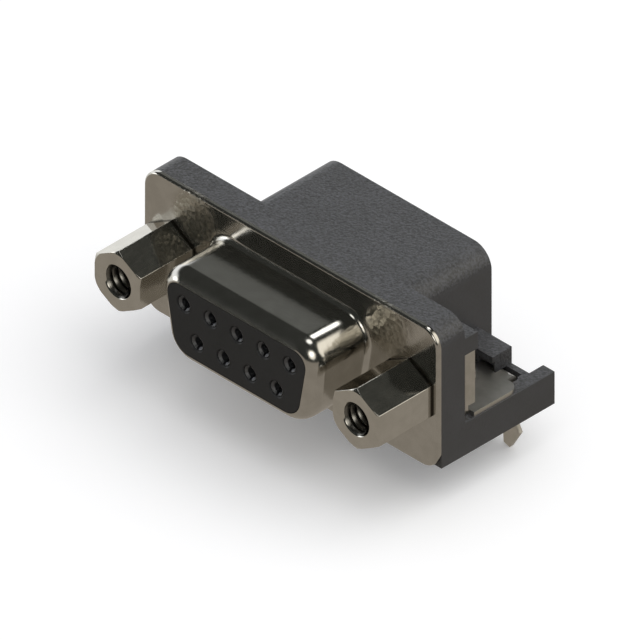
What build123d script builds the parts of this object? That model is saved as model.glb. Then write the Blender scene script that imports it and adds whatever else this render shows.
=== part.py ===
import os
from math import cos, radians, sqrt, tan

from build123d import *

os.makedirs("parts", exist_ok=True)

# Nine-way socket connector that lies on a circuit board and faces over its front edge.
# X runs along the connector, Y runs back from the board's edge, Z rises from the board.
# The origin is on the board, at the middle of the board's front edge.

# Mating face
contact_pitch = 2.77
row_spacing = 2.84
top_row_count = 5
bottom_row_count = 4
mating_axis_height = 6.10
shell_reach = 6.13

# Metal shell
shell_sheet = 0.45
shell_width = 16.33
shell_height = 7.90
shell_side_slope = 10.0
shell_top_corner = 2.10
shell_bottom_corner = 2.60
shell_nose_radius = 1.50
shell_base_radius = 0.50
shell_edge_radius = 0.20
face_inset = 0.92

# Flange
flange_width = 30.81
flange_height = 12.55
flange_corner = 1.60
flange_depth = 2.45
screw_share = 0.559425
screw_hole = 3.05

# Moulded housing
ear_depth = 3.83
ear_top = 10.55
hood_width = 17.60
hood_top = 10.65
hood_rear = 11.87
hood_wall = 0.90
hood_edge_radius = 1.80
foot_height = 2.90
foot_rear = 10.39
rail_width = 1.20
block_outer = 12.39
block_front = 8.36
block_top = 4.41

# Insulator halves
insulator_fit = 0.05
insulator_lip_width = 19.00
insulator_lip_height = 10.20
insulator_lip_depth = 1.20
window_height = 7.20
socket_bore = 1.36
socket_lead_in = 0.08

# Contacts
barrel_diameter = 1.24
barrel_bore = 0.84
barrel_bore_depth = 5.20
barrel_funnel = 0.16
barrel_recess = 0.10
slit_width = 0.20
slit_length = 4.00
collar_diameter = 1.70
collar_length = 1.25
tail_diameter = 0.64
tail_bend_radius = 1.00
tail_below_board = 3.00
front_tail_row = 7.70
contact_fit = 0.05

# Tail spacer
spacer_front = 5.20
spacer_bottom = 0.30
spacer_thickness = 1.00

# Board locks
lock_sheet = 0.40
lock_half_width = 2.80
lock_gap = 0.10
lock_top = 8.95
lock_web_bottom = 3.75
lock_wing_bottom = 4.20
lock_wing_rear = 3.62
lock_bend_half_width = 2.20
lock_bend_radius = 0.60
lock_leg_front = 3.54
lock_leg_rear = 8.27
lock_leg_corner = 0.90
prong_inner = 0.29
prong_outer = 1.52
prong_neck = 1.80
prong_barb = 2.12
prong_tip_inner = 0.50
prong_tip_outer = 1.12
prong_barb_height = -1.70
prong_neck_height = -1.15
prong_tip_height = -3.40
prong_tip_rise = 0.21
prong_fold_radius = 0.40
slot_half_width = 1.66
slot_front = 7.70
slot_step = 9.42
slot_rear = 9.86
slot_rear_half_width = 1.45
slot_corner = 0.30
block_notch_depth = 0.24
block_notch_height = 1.00
prong_gap = 0.10
barb_relief = 0.12

# Jackscrews and their nuts
hex_across_flats = 4.76
hex_front = 6.15
hex_corner_cut = 0.18
hex_corner_slope = 30.0
jack_thread_bore = 2.60
jack_thread_depth = 5.00
jack_mouth = 2.90
stud_diameter = 2.72
stud_rear = 4.30
nut_pilot = 3.60
nut_head = 4.40
nut_rear = 4.30
nut_fit = 0.03

rear_tail_row = front_tail_row + row_spacing
prong_line = front_tail_row + row_spacing / 2
jack_x = (hood_width + screw_share * (flange_width - hood_width)) / 2
cavity_width = hood_width - 2 * hood_wall
cavity_top = hood_top - hood_wall
cavity_rear = hood_rear - hood_wall


def across(y, x=0.0, z=mating_axis_height):
    # Plane across the connector at depth y, facing out of its front
    return Plane(origin=(x, y, z), x_dir=(1, 0, 0), z_dir=(0, -1, 0))


def d_outline(y, inset):
    # D shape of the mating face with its long side up, shrunk evenly by the inset
    slope = radians(shell_side_slope)
    half_height = shell_height / 2
    corner_height = half_height - shell_top_corner
    widest = shell_width / 2 - corner_height * tan(slope)
    middle = widest + shell_top_corner * (1 / cos(slope) - 1) - inset / cos(slope)
    half_height = half_height - inset
    top = middle + half_height * tan(slope)
    bottom = middle - half_height * tan(slope)
    with BuildSketch(across(y)) as outline:
        with BuildLine():
            Polyline(
                (-top, half_height),
                (top, half_height),
                (bottom, -half_height),
                (-bottom, -half_height),
                close=True,
            )
        make_face()
        fillet(outline.vertices().group_by(Axis.Y)[-1], shell_top_corner - inset)
        fillet(outline.vertices().group_by(Axis.Y)[0], shell_bottom_corner - inset)
    return outline.sketch


def d_plug(inset, length, ease, cut):
    # Solid D whose front rim is eased by the cut, from the board's edge forward
    with BuildPart() as plug:
        extrude(d_outline(0, inset), amount=length)
        rim = plug.faces().sort_by(Axis.Y)[0].edges()
        ease(rim, cut)
    return plug.part


def contact_places():
    # Contacts in the order of their numbers: along the top row, then the bottom row
    top = [((i - (top_row_count - 1) / 2) * contact_pitch, row_spacing / 2, rear_tail_row)
           for i in reversed(range(top_row_count))]
    bottom = [((i - (bottom_row_count - 1) / 2) * contact_pitch, -row_spacing / 2, front_tail_row)
              for i in reversed(range(bottom_row_count))]
    return top + bottom


socket_points = [(x, z) for x, z, tail_row in contact_places()]
tail_points = [(x, tail_row) for x, z, tail_row in contact_places()]
jack_points = [(-jack_x, 0), (jack_x, 0)]

# Front shell: flange plate and drawn D collar in one sheet
nose_chord = sqrt(shell_nose_radius**2 - (shell_nose_radius - face_inset) ** 2)
nose_overshoot = shell_nose_radius - nose_chord
nose_length = shell_reach + nose_overshoot
inner_nose_cut = (2 - sqrt(2)) * (shell_nose_radius - shell_sheet)

with BuildPart() as front_shell:
    with BuildSketch(across(0)):
        RectangleRounded(flange_width, flange_height, flange_corner)
        with Locations(*jack_points):
            Circle(screw_hole / 2, mode=Mode.SUBTRACT)
    extrude(amount=shell_sheet)
    add(d_plug(0, nose_length, fillet, shell_nose_radius))
    plate_front = front_shell.faces().filter_by(Axis.Y).filter_by_position(
        Axis.Y, -shell_sheet - 0.01, -shell_sheet + 0.01)[0]
    fillet(plate_front.outer_wire().edges(), shell_edge_radius)
    plate_front = front_shell.faces().filter_by(Axis.Y).filter_by_position(
        Axis.Y, -shell_sheet - 0.01, -shell_sheet + 0.01)[0]
    collar_base = plate_front.inner_wires().sort_by(SortBy.LENGTH)[-1]
    fillet(collar_base.edges(), shell_base_radius)
    extrude(d_outline(0, face_inset), amount=nose_length, mode=Mode.SUBTRACT)
    add(d_plug(shell_sheet, nose_length - shell_sheet, chamfer, inner_nose_cut), mode=Mode.SUBTRACT)

# Front insulator: nose inside the collar, lip behind the plate, body in the housing's window
nose_step = nose_length - shell_nose_radius
collar_seat = flange_depth - collar_length

with BuildPart() as front_insulator:
    extrude(d_outline(0, shell_sheet + insulator_fit), amount=nose_step)
    extrude(d_outline(0, face_inset + insulator_fit), amount=shell_reach)
    with BuildSketch(across(insulator_lip_depth)):
        Rectangle(insulator_lip_width, insulator_lip_height)
    extrude(amount=insulator_lip_depth)
    with BuildSketch(across(flange_depth)):
        Rectangle(cavity_width - 2 * insulator_fit, window_height - 2 * insulator_fit)
    extrude(amount=flange_depth)
    with BuildSketch(across(flange_depth)):
        with Locations(*socket_points):
            Circle(socket_bore / 2)
    extrude(amount=flange_depth + shell_reach, mode=Mode.SUBTRACT)
    face_circles = front_insulator.edges().filter_by(GeomType.CIRCLE).group_by(Axis.Y)[0]
    chamfer(face_circles.group_by(SortBy.RADIUS)[0], socket_lead_in)
    with BuildSketch(across(flange_depth)):
        with Locations(*socket_points):
            Circle(collar_diameter / 2 + contact_fit)
    extrude(amount=collar_length, mode=Mode.SUBTRACT)

# Rear insulator: plate that traps the contacts' collars, with a hole for each tail
with BuildPart() as rear_insulator:
    with BuildSketch(across(ear_depth)):
        Rectangle(cavity_width - 2 * insulator_fit, window_height - 2 * insulator_fit)
        with Locations(*socket_points):
            Circle(tail_diameter / 2 + contact_fit, mode=Mode.SUBTRACT)
    extrude(amount=ear_depth - flange_depth)

# Housing: flange, ears, hood over the bent tails, and two feet on the board
flange_top = mating_axis_height + flange_height / 2
half_width = flange_width / 2
pocket_inner = jack_x - lock_half_width - lock_gap
pocket_top = lock_top + lock_gap

with BuildPart() as housing:
    with BuildSketch(across(flange_depth, z=0)) as flange_face:
        with Locations((0, flange_top / 2)):
            Rectangle(flange_width, flange_top)
        fillet(flange_face.vertices().group_by(Axis.Y)[-1], flange_corner)
    extrude(amount=flange_depth)
    with BuildSketch(across(ear_depth, z=0)):
        with Locations((0, ear_top / 2)):
            Rectangle(flange_width, ear_top)
    extrude(amount=ear_depth - flange_depth)
    with BuildSketch(Plane.XY):
        with Locations((0, foot_rear / 2)):
            Rectangle(flange_width, foot_rear)
        for side in (-1, 1):
            with Locations((side * (half_width - rail_width / 2), hood_rear / 2)):
                Rectangle(rail_width, hood_rear)
    extrude(amount=foot_height)
    with BuildSketch(Plane.XY):
        with Locations((0, (block_front + foot_rear) / 2)):
            Rectangle(2 * block_outer, foot_rear - block_front)
    extrude(amount=block_top)
    with BuildSketch(across(hood_rear, z=0)) as hood_face:
        with Locations((0, hood_top / 2)):
            Rectangle(hood_width, hood_top)
        fillet(hood_face.vertices().group_by(Axis.Y)[-1], hood_edge_radius)
    extrude(amount=hood_rear - flange_depth)
    # Space under the hood, open to the board
    with BuildSketch(across(cavity_rear, z=0)) as cavity_face:
        with Locations((0, cavity_top / 2)):
            Rectangle(cavity_width, cavity_top)
        fillet(cavity_face.vertices().group_by(Axis.Y)[-1], hood_edge_radius - hood_wall)
    extrude(amount=cavity_rear - ear_depth, mode=Mode.SUBTRACT)
    # Window and recess that hold the insulators
    with BuildSketch(across(ear_depth)):
        Rectangle(cavity_width, window_height)
    extrude(amount=ear_depth, mode=Mode.SUBTRACT)
    with BuildSketch(across(insulator_lip_depth)):
        Rectangle(insulator_lip_width + 2 * insulator_fit, insulator_lip_height + 2 * insulator_fit)
    extrude(amount=insulator_lip_depth, mode=Mode.SUBTRACT)
    # Screw holes through the flange
    with BuildSketch(across(ear_depth)):
        with Locations(*jack_points):
            Circle(screw_hole / 2)
    extrude(amount=ear_depth, mode=Mode.SUBTRACT)
    for side in (-1, 1):
        # Pocket for the lock's upright, open to the side and the rear
        with BuildSketch(Plane.XY.offset(foot_height)):
            with Locations((side * (pocket_inner + half_width) / 2, (flange_depth + ear_depth) / 2)):
                Rectangle(half_width - pocket_inner, ear_depth - flange_depth)
        extrude(amount=pocket_top - foot_height, mode=Mode.SUBTRACT)
        # Stepped slot that the prongs pass through
        with BuildSketch(Plane.XY) as slot:
            with Locations((side * jack_x, (slot_front + slot_step) / 2)):
                Rectangle(2 * slot_half_width, slot_step - slot_front)
            fillet(slot.vertices(), slot_corner)
            with Locations((side * jack_x, (slot_front + slot_rear) / 2)):
                Rectangle(2 * slot_rear_half_width, slot_rear - slot_front)
        extrude(amount=foot_height, mode=Mode.SUBTRACT)
        # Shallow relief under the foot, above the barbs
        with BuildSketch(Plane.XY):
            with Locations((side * jack_x, prong_line)):
                Rectangle(2 * (prong_barb + prong_gap), lock_sheet + 2 * prong_gap)
        extrude(amount=barb_relief, mode=Mode.SUBTRACT)
        # Room in the block for the inner prong's fold, and the notch in its front corner
        with BuildSketch(Plane.XY.offset(foot_height)):
            with Locations((side * (jack_x - (prong_outer + prong_inner) / 2), slot_step / 2)):
                Rectangle(prong_outer - prong_inner + 2 * prong_gap, slot_step)
        extrude(amount=lock_sheet + 2 * lock_gap, mode=Mode.SUBTRACT)
        with BuildSketch(Plane.XY.offset(foot_height)):
            with Locations((side * (jack_x - prong_outer - prong_gap), block_front)):
                Rectangle(jack_x, 2 * block_notch_depth, align=(Align.MIN if side > 0 else Align.MAX, Align.CENTER))
        extrude(amount=block_notch_height, mode=Mode.SUBTRACT)

# Tail spacer: plate between the hood's walls that sets the tails to the board's holes
with BuildPart() as tail_spacer:
    with BuildSketch(Plane.XY.offset(spacer_bottom)):
        with Locations((0, (spacer_front + cavity_rear) / 2)):
            Rectangle(cavity_width, cavity_rear - spacer_front)
        with Locations(*tail_points):
            Circle(tail_diameter / 2 + contact_fit, mode=Mode.SUBTRACT)
    extrude(amount=spacer_thickness)


def contact(x, z, tail_row):
    # Socket with two spring halves, collar, and tail bent down to the board
    height = mating_axis_height + z
    barrel_front = barrel_recess - shell_reach
    with BuildPart() as piece:
        with BuildSketch(across(collar_seat, x, height)):
            Circle(barrel_diameter / 2)
        extrude(amount=collar_seat - barrel_front)
        with BuildSketch(across(barrel_front + barrel_bore_depth, x, height)):
            Circle(barrel_bore / 2)
        extrude(amount=barrel_bore_depth, mode=Mode.SUBTRACT)
        mouth = piece.edges().filter_by(GeomType.CIRCLE).group_by(Axis.Y)[0].sort_by(SortBy.RADIUS)[0]
        chamfer(mouth, barrel_funnel)
        with BuildSketch(across(barrel_front + slit_length, x, height)):
            Rectangle(slit_width, 2 * barrel_diameter)
        extrude(amount=slit_length, mode=Mode.SUBTRACT)
        with BuildSketch(across(flange_depth, x, height)):
            Circle(collar_diameter / 2)
        extrude(amount=collar_length)
        with BuildLine(Plane.YZ.offset(x)) as tail_route:
            FilletPolyline(
                (flange_depth, height),
                (tail_row, height),
                (tail_row, -tail_below_board),
                radius=tail_bend_radius,
            )
        with BuildSketch(across(flange_depth, x, height)):
            Circle(tail_diameter / 2)
        sweep(path=tail_route.line)
    return piece.part


def board_lock():
    # Folded sheet: upright with two wings, leg on the foot, two barbed prongs
    middle = lock_sheet / 2
    web_y = flange_depth + lock_gap + middle
    leg_z = foot_height + middle
    edge_x = lock_half_width - middle
    with BuildPart() as piece:
        with BuildSketch(Plane.XY.offset(lock_web_bottom)):
            with BuildLine():
                FilletPolyline(
                    (jack_x - edge_x, lock_wing_rear),
                    (jack_x - edge_x, web_y),
                    (jack_x + edge_x, web_y),
                    (jack_x + edge_x, lock_wing_rear),
                    radius=lock_bend_radius - middle,
                )
            trace(line_width=lock_sheet)
        extrude(amount=lock_top - lock_web_bottom)
        with BuildSketch(Plane.XY.offset(lock_web_bottom)):
            with Locations((jack_x, web_y + middle + lock_wing_rear / 2)):
                Rectangle(3 * lock_half_width, lock_wing_rear)
        extrude(amount=lock_wing_bottom - lock_web_bottom, mode=Mode.SUBTRACT)
        # Fold between the upright and the leg, narrower than both
        with BuildSketch(Plane.YZ.offset(jack_x)):
            with BuildLine():
                FilletPolyline(
                    (web_y, lock_wing_bottom),
                    (web_y, leg_z),
                    (lock_leg_front + lock_bend_radius, leg_z),
                    radius=lock_bend_radius - middle,
                )
            trace(line_width=lock_sheet)
        extrude(amount=lock_bend_half_width, both=True)
        # Leg that lies on the foot
        with BuildSketch(Plane.XY.offset(foot_height)) as leg:
            with Locations((jack_x, (lock_leg_front + lock_leg_rear) / 2)):
                Rectangle(2 * lock_half_width, lock_leg_rear - lock_leg_front)
            fillet(leg.vertices().group_by(Axis.Y)[-1], lock_leg_corner)
        extrude(amount=lock_sheet)
        # Prongs folded down from the leg's end
        prong_middle = (prong_inner + prong_outer) / 2
        for side in (-1, 1):
            with BuildSketch(Plane.YZ.offset(jack_x + side * prong_middle)):
                with BuildLine():
                    FilletPolyline(
                        (lock_leg_rear - lock_leg_corner, leg_z),
                        (prong_line, leg_z),
                        (prong_line, 0),
                        radius=prong_fold_radius,
                    )
                trace(line_width=lock_sheet)
            extrude(amount=(prong_outer - prong_inner) / 2, both=True)
            with BuildSketch(across(prong_line + middle, jack_x, 0)):
                with BuildLine():
                    Polyline(
                        (side * prong_inner, 0),
                        (side * prong_outer, 0),
                        (side * prong_neck, prong_neck_height),
                        (side * prong_barb, prong_barb_height),
                        (side * prong_tip_outer, prong_tip_height),
                        (side * prong_tip_inner, prong_tip_height + prong_tip_rise),
                        close=True,
                    )
                make_face()
            extrude(amount=lock_sheet)
        # Hole for the nut's pilot
        with BuildSketch(across(flange_depth + ear_depth, jack_x)):
            Circle(nut_pilot / 2 + nut_fit)
        extrude(amount=ear_depth + flange_depth, mode=Mode.SUBTRACT)
    return piece.part


def clinch_nut():
    # Round nut pressed into the lock's upright from behind
    web_front = flange_depth + lock_gap
    web_rear = web_front + lock_sheet
    with BuildPart() as piece:
        with BuildSketch(across(nut_rear, jack_x)):
            Circle(nut_head / 2)
        extrude(amount=nut_rear - web_rear)
        with BuildSketch(across(web_rear, jack_x)):
            Circle(nut_pilot / 2)
        extrude(amount=lock_sheet)
        with BuildSketch(across(nut_rear, jack_x)):
            Circle(stud_diameter / 2 + nut_fit)
        extrude(amount=nut_rear - web_front, mode=Mode.SUBTRACT)
    return piece.part


def turned_bar(radius):
    # Round bar with its front rim turned off, which the post's corners follow
    with BuildPart() as bar:
        with BuildSketch(across(-shell_sheet, jack_x)):
            Circle(radius)
        extrude(amount=hex_front - shell_sheet)
        front_rim = bar.edges().sort_by(Axis.Y)[0]
        chamfer(front_rim, hex_corner_cut, hex_corner_cut / tan(radians(hex_corner_slope)))
    return bar.part


def jackscrew():
    # Hexagonal post with a threaded mouth in front and a threaded stud behind
    across_corners = hex_across_flats / cos(radians(30))
    with BuildPart() as piece:
        with BuildSketch(across(-shell_sheet, jack_x)):
            RegularPolygon(across_corners / 2, 6, rotation=30)
        extrude(amount=hex_front - shell_sheet)
        add(turned_bar(across_corners / 2), mode=Mode.INTERSECT)
        with BuildSketch(across(-shell_sheet, jack_x)):
            Circle(stud_diameter / 2)
        extrude(amount=-(stud_rear + shell_sheet))
        with BuildSketch(across(jack_thread_depth - hex_front, jack_x)):
            Circle(jack_thread_bore / 2)
        extrude(amount=jack_thread_depth, mode=Mode.SUBTRACT)
        mouth_edge = piece.edges().filter_by(GeomType.CIRCLE).group_by(Axis.Y)[0].sort_by(SortBy.RADIUS)[0]
        chamfer(mouth_edge, (jack_mouth - jack_thread_bore) / 2)
    return piece.part


def to_left(part):
    # The same piece on the connector's left
    with BuildPart() as copy:
        add(mirror(part, about=Plane.YZ, mode=Mode.PRIVATE))
    return copy.part


pieces = {
    "front_shell": front_shell.part,
    "front_insulator": front_insulator.part,
    "rear_insulator": rear_insulator.part,
    "housing": housing.part,
    "tail_spacer": tail_spacer.part,
}
for number, (x, z, tail_row) in enumerate(contact_places(), start=1):
    pieces[f"contact_{number}"] = contact(x, z, tail_row)
for name, make in (("board_lock", board_lock), ("clinch_nut", clinch_nut), ("jackscrew", jackscrew)):
    right = make()
    pieces[f"{name}_right"] = right
    pieces[f"{name}_left"] = to_left(right)

for name, part in pieces.items():
    part.label = name
    export_step(part, f"parts/{name}.step")
    print(f"{name}: {part.volume:.3f} mm3")
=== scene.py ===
import math

import bmesh
import bpy
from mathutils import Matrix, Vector


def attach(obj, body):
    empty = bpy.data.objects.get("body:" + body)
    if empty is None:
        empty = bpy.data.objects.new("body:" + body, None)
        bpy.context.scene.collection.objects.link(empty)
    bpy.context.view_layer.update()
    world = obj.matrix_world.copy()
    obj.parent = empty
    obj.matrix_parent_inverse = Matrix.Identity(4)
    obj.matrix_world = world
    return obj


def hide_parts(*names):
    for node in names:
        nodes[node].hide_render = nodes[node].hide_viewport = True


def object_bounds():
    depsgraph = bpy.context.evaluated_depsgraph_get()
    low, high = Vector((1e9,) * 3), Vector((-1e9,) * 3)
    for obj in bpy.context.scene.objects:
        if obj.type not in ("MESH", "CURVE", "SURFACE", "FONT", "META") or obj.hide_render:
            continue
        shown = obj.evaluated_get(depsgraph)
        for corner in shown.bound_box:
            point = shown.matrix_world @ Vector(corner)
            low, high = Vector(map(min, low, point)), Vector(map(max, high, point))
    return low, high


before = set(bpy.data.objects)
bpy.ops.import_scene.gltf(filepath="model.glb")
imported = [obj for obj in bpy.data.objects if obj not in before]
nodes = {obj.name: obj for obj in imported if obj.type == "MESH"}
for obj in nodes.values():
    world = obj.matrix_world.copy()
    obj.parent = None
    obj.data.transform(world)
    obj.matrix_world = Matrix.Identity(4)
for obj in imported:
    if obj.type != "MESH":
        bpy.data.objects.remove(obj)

cadLow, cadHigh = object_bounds()
mm = 0.001
scene = bpy.context.scene
print("stage: frame loaded,", len(nodes), "nodes")

# Places that finishes and pieces share, in millimetres
connector = {"halfWidth": 15.405, "hoodHalfWidth": 8.8, "top": 12.375, "screwAside": 12.495, "screwHeight": 6.10}


class Wire:
    # one value in a material; an expression on it adds the Math nodes
    def __init__(self, finish, socket):
        self.finish = finish
        self.socket = socket

    def maths(self, operation, *given):
        return self.finish.node("Math", {"operation": operation}, dict(enumerate(given)))

    def __add__(self, other):
        return self.maths("ADD", self, other)

    def __radd__(self, other):
        return self.maths("ADD", other, self)

    def __sub__(self, other):
        return self.maths("SUBTRACT", self, other)

    def __rsub__(self, other):
        return self.maths("SUBTRACT", other, self)

    def __mul__(self, other):
        return self.maths("MULTIPLY", self, other)

    def __abs__(self):
        return self.maths("ABSOLUTE", self)

    def ramp(self, low, high):
        # 0 at the first number and 1 at the second, smooth between
        settings = {"interpolation_type": "SMOOTHSTEP"}
        return self.finish.node("MapRange", settings, {"Value": self, "From Min": low, "From Max": high})


class Finish:
    # one procedural material built around a Principled shader
    def __init__(self, name, fixed):
        self.material = bpy.data.materials.new(name)
        self.material.use_nodes = True
        self.tree = self.material.node_tree
        self.shader = self.tree.nodes["Principled BSDF"]
        for socket, value in fixed.items():
            self.shader.inputs[socket].default_value = value
        self.place = self.node("TexCoord", {}, {}, "Object")

    def node(self, kind, settings, inputs, output=0):
        made = self.tree.nodes.new("ShaderNode" + kind)
        for key, value in settings.items():
            setattr(made, key, value)
        for key, value in inputs.items():
            self.feed(made.inputs[key], value)
        return Wire(self, made.outputs[output])

    def feed(self, socket, value):
        if isinstance(value, Wire):
            self.tree.links.new(value.socket, socket)
        else:
            socket.default_value = value

    def spot(self, scale):
        # where on the piece, in millimetres times a scale that may differ by axis
        byAxis = scale if isinstance(scale, tuple) else (scale,) * 3
        inputs = {"Vector": self.place, "Scale": tuple(value / mm for value in byAxis)}
        return self.node("Mapping", {"vector_type": "POINT"}, inputs)

    def along(self, axis):
        return self.node("SeparateXYZ", {}, {0: self.spot(1)}, axis)

    def grain(self, scale, detail, roughness, distortion=0.0):
        inputs = {"Vector": self.spot(scale), "Scale": 1.0, "Detail": detail,
                  "Roughness": roughness, "Distortion": distortion}
        return self.node("TexNoise", {}, inputs)

    def cells(self, scale):
        return self.node("TexVoronoi", {"feature": "F1"}, {"Vector": self.spot(scale), "Scale": 1.0})

    def lobes(self, scale, smoothness):
        inputs = {"Vector": self.spot(scale), "Scale": 1.0, "Smoothness": smoothness}
        return self.node("TexVoronoi", {"feature": "SMOOTH_F1"}, inputs)

    def blend(self, factor, first, second):
        # inputs 6 and 7 and output 2 are the Mix node's colours
        return self.node("Mix", {"data_type": "RGBA", "clamp_factor": True}, {0: factor, 6: first, 7: second}, 2)

    def relief(self, height, depth):
        # bump whose full height is the depth, in millimetres
        return self.node("Bump", {}, {"Height": height, "Distance": depth * mm, "Strength": 1.0})

    def set(self, **values):
        names = {"colour": "Base Color", "roughness": "Roughness", "normal": "Normal"}
        for key, value in values.items():
            self.feed(self.shader.inputs[names[key]], value)
        return self.material


# The housing's polished faces, and the flat tops where the grain starts again
polish = {
    "planes": (connector["halfWidth"], connector["hoodHalfWidth"]), "away": (0.02, 0.10),
    "top": (connector["top"] - 0.085, connector["top"] - 0.025), "leftGrain": 0.15,
}
# What both mouldings share: noise is scale, detail, roughness and distortion
plasticGrain = {
    "lobeSmoothness": 0.6, "fineToLobes": 1.15, "fineNoise": (2.0, 0.6), "heightShare": 0.6,
    "broadNoise": (0.35, 3.0, 0.55), "broadEdges": (0.2, 0.8), "broadShare": 0.3, "leastLight": 0.35,
    "fineEdges": (0.36, 0.64), "speckNoise": (1.0, 0.5, 0.4), "speckEdges": (0.54, 0.66),
}
# What all the metals share
plateGrain = {
    "cloudNoise": (3.0, 0.55), "cloudEdges": (0.3, 0.7), "cloudShare": 0.7, "lineNoise": (2.0, 0.6), "lineShare": 0.3,
    "speckNoise": (3.1, 4.0, 0.7), "speckEdges": (0.58, 0.78),
}


def grainCover(finish):
    # 1 where the grain shows fully, less on the faces that the tool slides along
    fromMiddle = abs(finish.along("X"))
    cover = 1.0
    for plane in polish["planes"]:
        cover = abs(fromMiddle - plane).ramp(*polish["away"]) * cover
    onTop = finish.along("Z").ramp(*polish["top"])
    cover = cover + onTop * (1.0 - cover)
    return cover * (1.0 - polish["leftGrain"]) + polish["leftGrain"]


def mouldedPlastic(name, look):
    # matt moulding with a spark-eroded grain
    finish = Finish(name, {"IOR": 1.5, "Specular IOR Level": look["specular"]})
    cover = grainCover(finish) if look["polished"] else 1.0
    lobe = finish.lobes(look["lobes"], plasticGrain["lobeSmoothness"])
    fine = finish.grain(look["lobes"] * plasticGrain["fineToLobes"], *plasticGrain["fineNoise"])
    broad = finish.grain(*plasticGrain["broadNoise"])
    height = (lobe * plasticGrain["heightShare"] + fine * plasticGrain["heightShare"]) * cover
    shade = broad.ramp(*plasticGrain["broadEdges"]) * plasticGrain["broadShare"] + plasticGrain["leastLight"]
    shade = shade + (fine.ramp(*plasticGrain["fineEdges"]) - 0.5) * cover * look["mottle"]
    colour = finish.blend(shade, look["dark"], look["light"])
    specks = finish.grain(look["specks"], *plasticGrain["speckNoise"]).ramp(*plasticGrain["speckEdges"])
    colour = finish.blend(specks * cover * look["speckTone"], colour, look["pit"])
    rough = look["roughness"] + (fine - 0.5) * look["roughnessSpread"]
    return finish.set(colour=colour, roughness=rough, normal=finish.relief(height, look["depth"]))


def platedMetal(name, look):
    # plated sheet or bar: soft cloudy tone, faint rolling lines, small tarnish
    finish = Finish(name, {"Metallic": 1.0})
    clouds = finish.grain(look["clouds"], *plateGrain["cloudNoise"])
    lines = finish.grain(look["lines"], *plateGrain["lineNoise"])
    specks = finish.grain(*plateGrain["speckNoise"]).ramp(*plateGrain["speckEdges"])
    colour = finish.blend(clouds.ramp(*plateGrain["cloudEdges"]), look["dark"], look["light"])
    colour = finish.blend(specks * look["tarnish"], colour, look["stain"])
    rough = look["roughness"] + (clouds - 0.5) * look["cloudRoughness"] + (lines - 0.5) * look["lineRoughness"]
    height = clouds * plateGrain["cloudShare"] + lines * plateGrain["lineShare"]
    if "paintedShade" in look:
        # painted shade along Y, darker and rougher: on the contacts the tips deep in their bores, on the posts the
        # stretch at the joint with the plate
        bright = finish.along("Y").ramp(*look["paintedShadeSpan"])
        colour = finish.blend(bright, look["paintedShade"], colour)
        rough = rough + (1.0 - bright) * look["paintedShadeRoughness"]
    if "dimples" in look:
        # the drawn sheet is dimpled beside the posts and nearly flat elsewhere
        beside, above = look["dimpledAt"]
        aside, over = abs(finish.along("X")) - beside, finish.along("Z") - above
        dimpled = 1.0 - (aside * aside + over * over).ramp(*look["dimpledFade"])
        height = finish.cells(look["dimples"]) * (dimpled * look["dimpleGain"] + 1.0)
        rough = rough + dimpled * look["dimpleRoughness"]
        # painted shade: the sheet is painted darker beside the posts, fading out with the dimples
        colour = finish.blend(dimpled * look["paintedShadeShare"], colour, look["paintedShadeBesidePosts"])
    return finish.set(colour=colour, roughness=rough, normal=finish.relief(height, look["depth"]))


housingLook = {
    "specular": 0.56, "lobes": 4.4, "depth": 0.045, "mottle": 0.9, "specks": 3.4, "speckTone": 0.55,
    "dark": (0.048, 0.048, 0.0475, 1), "light": (0.084, 0.085, 0.091, 1), "pit": (0.030, 0.030, 0.030, 1),
    "roughness": 0.46, "roughnessSpread": 0.15, "polished": True,
}
insulatorLook = {
    "specular": 0.17, "lobes": 5.0, "depth": 0.004, "mottle": 0.3, "specks": 2.5, "speckTone": 0.2,
    "dark": (0.037, 0.0375, 0.0375, 1), "light": (0.046, 0.0465, 0.0465, 1), "pit": (0.030, 0.030, 0.030, 1),
    "roughness": 0.40, "roughnessSpread": 0.15, "polished": False,
}
shellLook = {
    "clouds": 0.9, "lines": (1.0, 7.0, 7.0), "depth": 0.0028,
    "dark": (0.505, 0.490, 0.455, 1), "light": (0.555, 0.540, 0.505, 1), "stain": (0.42, 0.40, 0.36, 1),
    "tarnish": 0.15, "roughness": 0.165, "cloudRoughness": 0.05, "lineRoughness": 0.02,
    # dimples beside the posts, where the sheet is also painted darker as painted shade
    "dimples": 2.2, "dimpledAt": (10.0, 10.3), "dimpledFade": (2.0, 7.5), "dimpleGain": 19.0,
    "dimpleRoughness": 0.17, "paintedShadeShare": 0.85, "paintedShadeBesidePosts": (0.37, 0.345, 0.285, 1),
}
lockLook = {
    "clouds": 1.1, "lines": (9.0, 2.0, 2.0), "depth": 0.010,
    "dark": (0.55, 0.535, 0.49, 1), "light": (0.62, 0.60, 0.56, 1), "stain": (0.44, 0.42, 0.38, 1),
    "tarnish": 0.2, "roughness": 0.31, "cloudRoughness": 0.10, "lineRoughness": 0.06,
}
postLook = {
    "clouds": 0.8, "lines": (6.0, 0.9, 6.0), "depth": 0.0014,
    "dark": (0.560, 0.545, 0.505, 1), "light": (0.610, 0.595, 0.555, 1), "stain": (0.44, 0.42, 0.38, 1),
    "tarnish": 0.1, "roughness": 0.10, "cloudRoughness": 0.04, "lineRoughness": 0.05,
    # painted shade on the stretch at the joint with the plate
    "paintedShadeSpan": (-0.56, -0.74), "paintedShade": (0.06, 0.055, 0.045, 1), "paintedShadeRoughness": 0.2,
}
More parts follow.
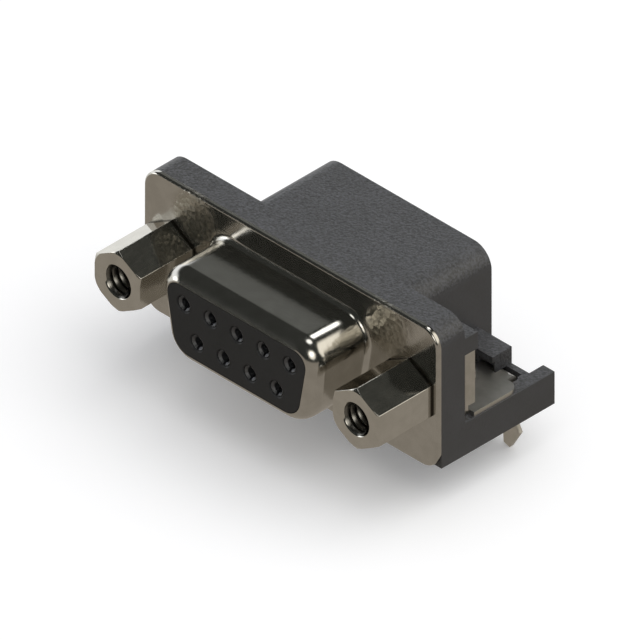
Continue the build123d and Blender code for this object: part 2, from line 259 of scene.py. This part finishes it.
# The threads are the posts' plated metal painted darker: painted shade deep in the bores
paintedShadeThreadLook = {
    "clouds": 2.0, "lines": 6.0, "depth": 0.002,
    "dark": (0.16, 0.155, 0.14, 1), "light": (0.22, 0.214, 0.195, 1), "stain": (0.10, 0.095, 0.085, 1),
    "tarnish": 0.2, "roughness": 0.30, "cloudRoughness": 0.05, "lineRoughness": 0.05,
}
nutLook = {
    "clouds": 1.2, "lines": 5.0, "depth": 0.003,
    "dark": (0.46, 0.455, 0.44, 1), "light": (0.54, 0.53, 0.51, 1), "stain": (0.38, 0.36, 0.33, 1),
    "tarnish": 0.2, "roughness": 0.28, "cloudRoughness": 0.08, "lineRoughness": 0.08,
}
contactLook = {
    "clouds": 1.5, "lines": (8.0, 2.0, 8.0), "depth": 0.002,
    "dark": (0.46, 0.45, 0.42, 1), "light": (0.54, 0.53, 0.50, 1), "stain": (0.36, 0.35, 0.32, 1),
    "tarnish": 0.15, "roughness": 0.22, "cloudRoughness": 0.06, "lineRoughness": 0.08,
    # painted shade on the tips deep in their bores
    "paintedShadeSpan": (-3.6, -2.6), "paintedShade": (0.17, 0.175, 0.185, 1), "paintedShadeRoughness": 0.33,
}

finishes = {
    "housing_black": mouldedPlastic("grainedHousing", housingLook),
    "insulator_black": mouldedPlastic("smoothInsulator", insulatorLook),
    "nickel_plate": platedMetal("platedShell", shellLook),
    "tin_plate": platedMetal("tinnedLock", lockLook),
    "jackscrew_nickel": platedMetal("platedPost", postLook),
    "cut_thread": platedMetal("threadInPaintedShade", paintedShadeThreadLook),
    "nut_steel": platedMetal("clinchedSteel", nutLook),
    "contact_plate": platedMetal("platedContact", contactLook),
}
for node in nodes.values():
    for held in node.material_slots:
        if held.material and held.material.name in finishes:
            held.material = finishes[held.material.name]
print("stage: finishes on the CAD nodes")


def pieceFrom(name, bm, slotName, smoothBelow, finishName=None):
    # a finished mesh object: soft shading, hard only at the real corners
    bmesh.ops.recalc_face_normals(bm, faces=bm.faces)
    mesh = bpy.data.meshes.new(name)
    bm.to_mesh(mesh)
    bm.free()
    mesh.shade_smooth()
    mesh.set_sharp_from_angle(angle=math.radians(smoothBelow))
    piece = bpy.data.objects.new(name, mesh)
    scene.collection.objects.link(piece)
    mesh.materials.append(finishes[finishName or slotName])
    weighted = piece.modifiers.new("flatFacesLead", "WEIGHTED_NORMAL")
    weighted.keep_sharp = True
    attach(piece, "root")
    return piece


softening = {"merge": 0.002, "smoothBelow": 40}


def softenedCopy(node, name, slotName, look):
    # the node's solid with its sharp corners eased by a small round
    bm = bmesh.new()
    bm.from_mesh(nodes[node].data)
    bmesh.ops.remove_doubles(bm, verts=bm.verts, dist=softening["merge"] * mm)
    if look["flatten"]:
        limit = math.radians(look["flatten"])
        bmesh.ops.dissolve_limit(bm, angle_limit=limit, verts=bm.verts, edges=bm.edges)
    corner = math.radians(look["corner"])
    sharp = [edge for edge in bm.edges if len(edge.link_faces) == 2 and edge.calc_face_angle() > corner]
    bmesh.ops.bevel(bm, geom=sharp, offset=look["round"] * mm, offset_type="OFFSET", affect="EDGES",
                    segments=look["steps"], profile=0.5, material=-1, clamp_overlap=True)
    piece = pieceFrom(name, bm, slotName, softening["smoothBelow"])
    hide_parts(node)


# Corners sharper than the angle, in degrees, get the round, in millimetres
housingEdges = {"flatten": 0.5, "corner": 30, "round": 0.05, "steps": 2}
softenedCopy("housing", "mouldedHousing", "housing_black", housingEdges)
lockEdges = {"flatten": 0.5, "corner": 40, "round": 0.05, "steps": 2}
for side in ("left", "right"):
    softenedCopy("board_lock_" + side, "stampedLock_" + side, "tin_plate", lockEdges)
postEdges = {"flatten": 0.5, "corner": 25, "round": 0.07, "steps": 3}
for side in ("left", "right"):
    softenedCopy("jackscrew_" + side, "hexPost_" + side, "jackscrew_nickel", postEdges)
shellEdges = {"flatten": 0, "corner": 40, "round": 0.05, "steps": 2}
softenedCopy("front_shell", "drawnShell", "nickel_plate", shellEdges)
print("stage: softened pieces")


def helicalRidge(bm, centre, cut):
    # one ridge wound about an axis along Y, from its first to its last place
    half, tip = cut["pitch"] * cut["rootShare"], cut["pitch"] * cut["crestShare"]
    points = [(cut["root"], -half), (cut["crest"], -tip), (cut["crest"], tip), (cut["root"], half)]
    verts = [bm.verts.new(((centre + r) * mm, (cut["first"] + y) * mm, cut["height"] * mm)) for r, y in points]
    edges = [bm.edges.new(pair) for pair in zip(verts, verts[1:])]
    travel = cut["last"] - cut["first"]
    turns = travel / cut["pitch"]
    steps = int(turns * cut["turnSteps"])
    bmesh.ops.spin(bm, geom=verts + edges, cent=(centre * mm, 0, cut["height"] * mm), axis=(0, 1, 0),
                   dvec=(0, travel / steps * mm, 0), angle=turns * 2 * math.pi, steps=steps)


thread = {
    "pitch": 0.635, "root": 1.30, "crest": 1.10, "rootShare": 0.44, "crestShare": 0.07,
    "first": -6.0, "last": -1.3, "height": connector["screwHeight"], "turnSteps": 40, "smoothBelow": 60,
}
# The ridges take the darker thread finish, which paints the shade deep in each bore
for side, centre in (("left", -connector["screwAside"]), ("right", connector["screwAside"])):
    bm = bmesh.new()
    helicalRidge(bm, centre, thread)
    pieceFrom("postThread_" + side, bm, "jackscrew_nickel", thread["smoothBelow"], "cut_thread")
print("stage: threads")


# The floor is white and shaded where it is seen, and dimmer as a bounce.
# In gloss it is warm grey near the part, and bright far off along one direction.
floorLook = {
    "size": 3.0, "drop": 0.00002, "seen": (0.895, 0.895, 0.895, 1), "glow": 0.18,
    "bounce": (0.14, 0.135, 0.12, 1), "mirrored": (0.36, 0.325, 0.28, 1),
    "far": (1.0, 1.0, 0.97, 1), "farTowards": (-0.81, 0.59, 0), "farFrom": (0.018, 0.034),
}

bm = bmesh.new()
bmesh.ops.create_grid(bm, x_segments=1, y_segments=1, size=floorLook["size"] / 2)
bmesh.ops.translate(bm, verts=bm.verts, vec=(0, 0, cadLow.z - floorLook["drop"]))
floorMesh = bpy.data.meshes.new("studioFloor")
bm.to_mesh(floorMesh)
bm.free()
floor = bpy.data.objects.new("studioFloor", floorMesh)
scene.collection.objects.link(floor)

floorFinish = Finish("paleFloor", {"Roughness": 0.9, "Specular IOR Level": 0.0})
seen, glossy, through = (floorFinish.node("LightPath", {}, {}, ray)
                         for ray in ("Is Camera Ray", "Is Glossy Ray", "Is Transmission Ray"))
floorFinish.set(colour=floorFinish.blend(seen, floorLook["bounce"], floorLook["seen"]))
glow = floorFinish.node("Emission", {}, {"Color": (1, 1, 1, 1), "Strength": seen * floorLook["glow"]})
shaded = floorFinish.node("AddShader", {}, {0: Wire(floorFinish, floorFinish.shader.outputs[0]), 1: glow})
across = floorFinish.node("VectorMath", {"operation": "DOT_PRODUCT"},
                          {0: floorFinish.place, 1: floorLook["farTowards"]}, "Value")
mirroredTone = floorFinish.blend(across.ramp(*floorLook["farFrom"]), floorLook["mirrored"], floorLook["far"])
mirrored = floorFinish.node("Emission", {}, {"Color": mirroredTone, "Strength": 1.0})
both = floorFinish.node("MixShader", {}, {0: glossy + through, 1: shaded, 2: mirrored})
floorFinish.feed(floorFinish.tree.nodes["Material Output"].inputs["Surface"], both)
floorMesh.materials.append(floorFinish.material)


def towards(azimuth, elevation):
    # azimuth 0 is the front, and it grows to the right
    turn, rise = math.radians(azimuth), math.radians(elevation)
    return Vector((math.sin(turn) * math.cos(rise), -math.cos(turn) * math.cos(rise), math.sin(rise)))


# A broad soft lamp that shades the part and the floor; gloss mirrors the sky's patches in its place
keyLamp = {
    "side": 0.75, "radiance": 1.17, "azimuth": 112, "elevation": 64, "distance": 0.6, "colour": (1.0, 0.985, 0.95),
}
keyData = bpy.data.lights.new("softKey", "AREA")
keyData.shape = "RECTANGLE"
keyData.size = keyData.size_y = keyLamp["side"]
keyData.energy = keyLamp["radiance"] * math.pi * keyLamp["side"] ** 2
keyData.color = keyLamp["colour"]
key = bpy.data.objects.new("softKey", keyData)
keyAway = towards(keyLamp["azimuth"], keyLamp["elevation"])
key.location = keyAway * keyLamp["distance"]
key.rotation_mode = "QUATERNION"
key.rotation_quaternion = keyAway.to_track_quat("Z", "Y")
key.visible_camera = False
key.visible_glossy = False
scene.collection.objects.link(key)


class Sky(Finish):
    # the world's nodes, built like a finish
    def __init__(self, made):
        self.tree = made.node_tree
        self.place = self.node("TexCoord", {}, {}, "Generated")

    def facing(self, azimuth, elevation):
        # how squarely a direction points at a place in the sky
        inputs = {0: self.place, 1: tuple(towards(azimuth, elevation))}
        return self.node("VectorMath", {"operation": "DOT_PRODUCT"}, inputs, "Value")


# The part is lit by a soft gradient, and mirrors a dark room with some bright patches
skyLook = {
    "ambientLow": (0.25, 0.245, 0.23, 1), "ambientHigh": (0.74, 0.75, 0.78, 1), "ambientRise": (-0.1, 0.9),
    "room": (0.036, 0.038, 0.034, 1),
    "horizon": (1.42, 1.46, 1.51, 1), "horizonAt": (260, 0), "horizonEdge": (0.58, 0.74), "horizonTop": (0.28, 0.50),
}
skyPatches = [
    # azimuth, elevation, edge outside, edge inside, colour
    (223, 32, 0.976, 0.992, (0.160, 0.165, 0.158, 1)),
    (132, 28, 0.85, 0.94, (1.5, 1.42, 1.26, 1)),
    (48, 30, 0.935, 0.97, (1.6, 1.53, 1.38, 1)),
    (46, 33, 0.985, 0.993, (4.0, 3.9, 3.7, 1)),
    (0, 90, 0.970, 0.990, (2.2, 2.2, 2.15, 1)),
    (196, 53, 0.986, 0.995, (3.4, 3.4, 3.3, 1)),
]
horizonPatches = [(304, 5, 0.970, 0.9925, (3.2, 3.2, 3.15, 1))]


def withPatches(sky, under, patches):
    for azimuth, elevation, outside, inside, colour in patches:
        under = sky.blend(sky.facing(azimuth, elevation).ramp(outside, inside), under, colour)
    return under


world = bpy.data.worlds.new("studioSky")
world.use_nodes = True
scene.world = world
sky = Sky(world)
upward = sky.node("SeparateXYZ", {}, {0: sky.place}, "Z")
ambient = sky.blend(upward.ramp(*skyLook["ambientRise"]), skyLook["ambientLow"], skyLook["ambientHigh"])
mirror = withPatches(sky, skyLook["room"], skyPatches)
horizon = sky.facing(*skyLook["horizonAt"]).ramp(*skyLook["horizonEdge"])
horizon = horizon * (1.0 - upward.ramp(*skyLook["horizonTop"]))
mirror = withPatches(sky, sky.blend(horizon, mirror, skyLook["horizon"]), horizonPatches)
inGloss = sky.node("LightPath", {}, {}, "Is Glossy Ray")
inView = sky.node("LightPath", {}, {}, "Is Camera Ray")
light = sky.blend(inView, sky.blend(inGloss, ambient, mirror), (1, 1, 1, 1))
sky.feed(sky.tree.nodes["Background"].inputs["Color"], light)
print("stage: floor, lamp and sky")

# The photograph's isometric view: the place at the frame's middle and the frame's width, in millimetres
view = {"middle": (1.51, 1.14, 6.00), "width": 47.485, "distance": 300, "clip": (0.01, 10)}
cameraData = bpy.data.cameras.new("photoCamera")
cameraData.type = "ORTHO"
cameraData.ortho_scale = view["width"] * mm
cameraData.clip_start, cameraData.clip_end = view["clip"]
camera = bpy.data.objects.new("photoCamera", cameraData)
camera.rotation_euler = (math.acos(1 / math.sqrt(3)), 0, math.radians(45))
camera.location = (Vector(view["middle"]) + Vector((1, -1, 1)).normalized() * view["distance"]) * mm
scene.collection.objects.link(camera)
scene.camera = camera
scene.view_settings.view_transform = "Standard"
print("stage: camera")
